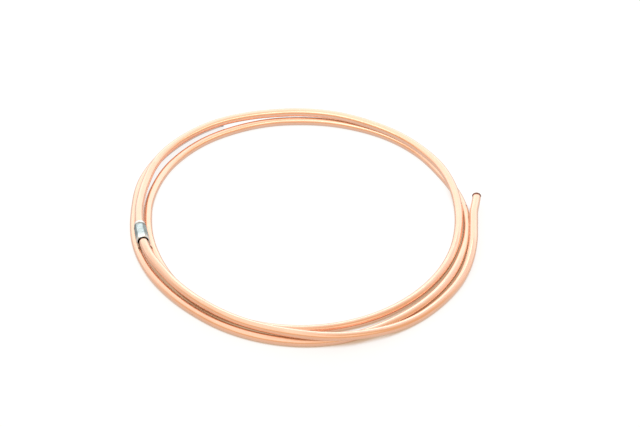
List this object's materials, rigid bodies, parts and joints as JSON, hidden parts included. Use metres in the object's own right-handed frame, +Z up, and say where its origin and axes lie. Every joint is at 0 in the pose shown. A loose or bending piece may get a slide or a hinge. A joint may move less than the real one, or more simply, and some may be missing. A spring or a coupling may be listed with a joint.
{
  "type": "copper tube coil",
  "caption": "Short hand-wound coil of soft copper tube lying flat, both ends cut square and one sprung free, with a loose steel tube nut on it.",
  "frame": {"origin": "under the middle of the coil's outline, on the floor it lies on", "axes": "+Z up, out of the floor, along the coil's own axis; +X towards the side where the free end springs out; +Y towards the back"},
  "size_m": [0.2564, 0.2496, 0.0145],
  "materials": {
    "copper": null,
    "zinc_steel": "bright zinc plating"
  },
  "bodies": {
    "root": {"copper_tube": "copper", "steel_sleeve_nut": "zinc_steel"}
  },
  "joints": []
}
